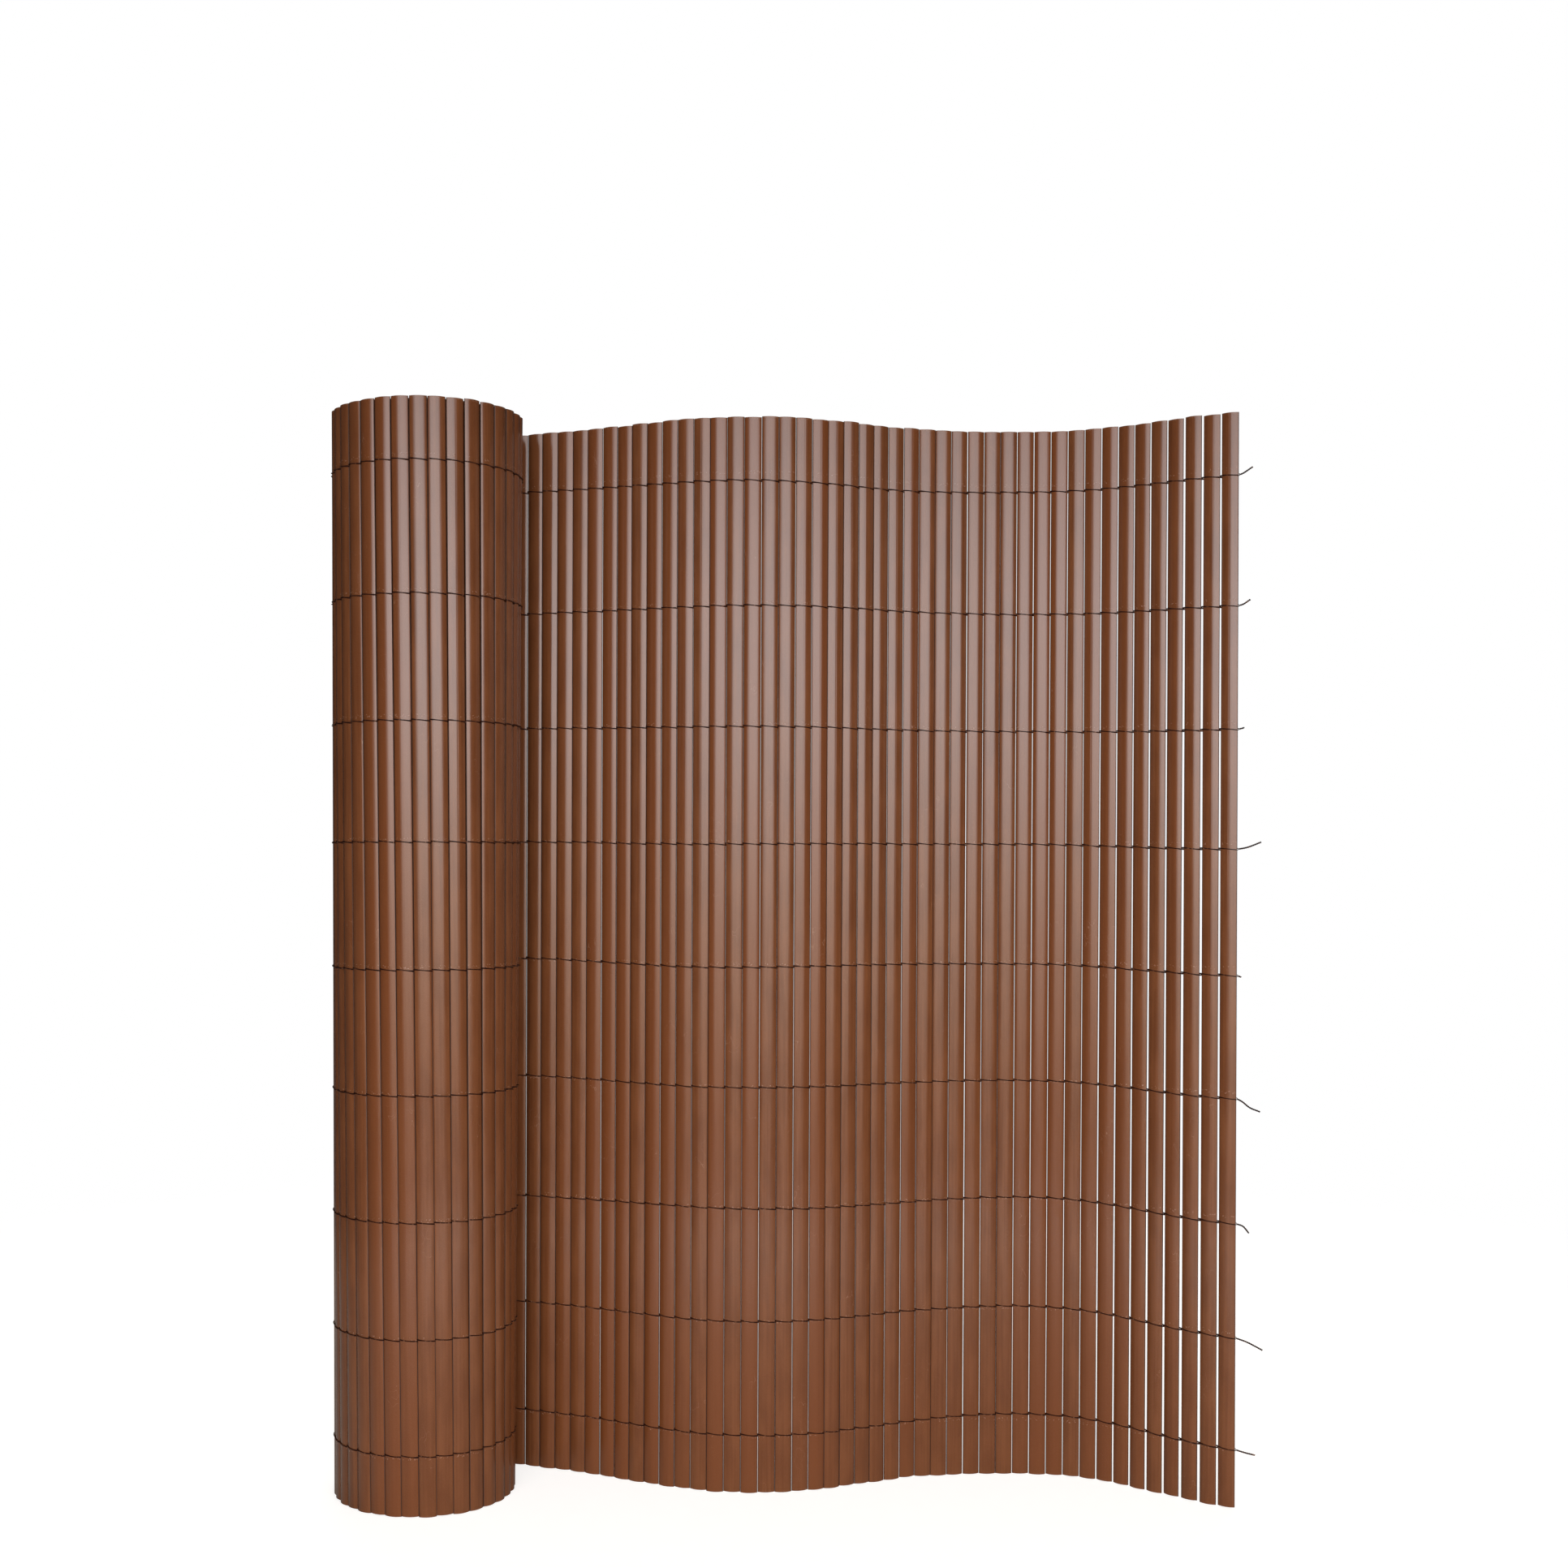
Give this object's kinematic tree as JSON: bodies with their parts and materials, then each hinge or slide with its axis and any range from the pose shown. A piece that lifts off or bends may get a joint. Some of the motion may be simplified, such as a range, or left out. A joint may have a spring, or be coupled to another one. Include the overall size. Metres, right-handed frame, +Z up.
{
  "type": "slatted plastic privacy mat",
  "caption": "Upright garden privacy mat of oval plastic slats bound side by side with twined wire: a waved open sheet that runs off a standing roll.",
  "frame": {"origin": "on the ground, under the middle of the whole mat's box", "axes": "+X from the roll along the open sheet to its free end; +Y from the open sheet's front to its back; +Z up along the slats"},
  "size_m": [0.764, 0.1582, 0.9],
  "materials": {
    "slats": "satin brown, extruded, with a soft sheen along each slat",
    "binding_wire": "thin wire in a dark brown coating"
  },
  "bodies": {
    "root": {"slat_01": "slats", "slat_02": "slats", "slat_03": "slats", "slat_04": "slats", "slat_05": "slats", "slat_06": "slats", "slat_07": "slats", "slat_08": "slats", "slat_09": "slats", "slat_10": "slats", "slat_11": "slats", "slat_12": "slats", "slat_13": "slats", "slat_14": "slats", "slat_15": "slats", "slat_16": "slats", "slat_17": "slats", "slat_18": "slats", "slat_19": "slats", "slat_20": "slats", "slat_21": "slats", "slat_22": "slats", "slat_23": "slats", "slat_24": "slats", "slat_25": "slats", "slat_26": "slats", "slat_27": "slats", "slat_28": "slats", "slat_29": "slats", "slat_30": "slats", "slat_31": "slats", "slat_32": "slats", "slat_33": "slats", "slat_34": "slats", "slat_35": "slats", "slat_36": "slats", "slat_37": "slats", "slat_38": "slats", "slat_39": "slats", "slat_40": "slats", "slat_41": "slats", "slat_42": "slats", "slat_43": "slats", "slat_44": "slats", "slat_45": "slats", "rolled_turns": "slats", "binding_wire_1": "binding_wire", "binding_wire_2": "binding_wire", "binding_wire_3": "binding_wire", "binding_wire_4": "binding_wire", "binding_wire_5": "binding_wire", "binding_wire_6": "binding_wire", "binding_wire_7": "binding_wire", "binding_wire_8": "binding_wire", "binding_wire_9": "binding_wire"}
  },
  "joints": []
}
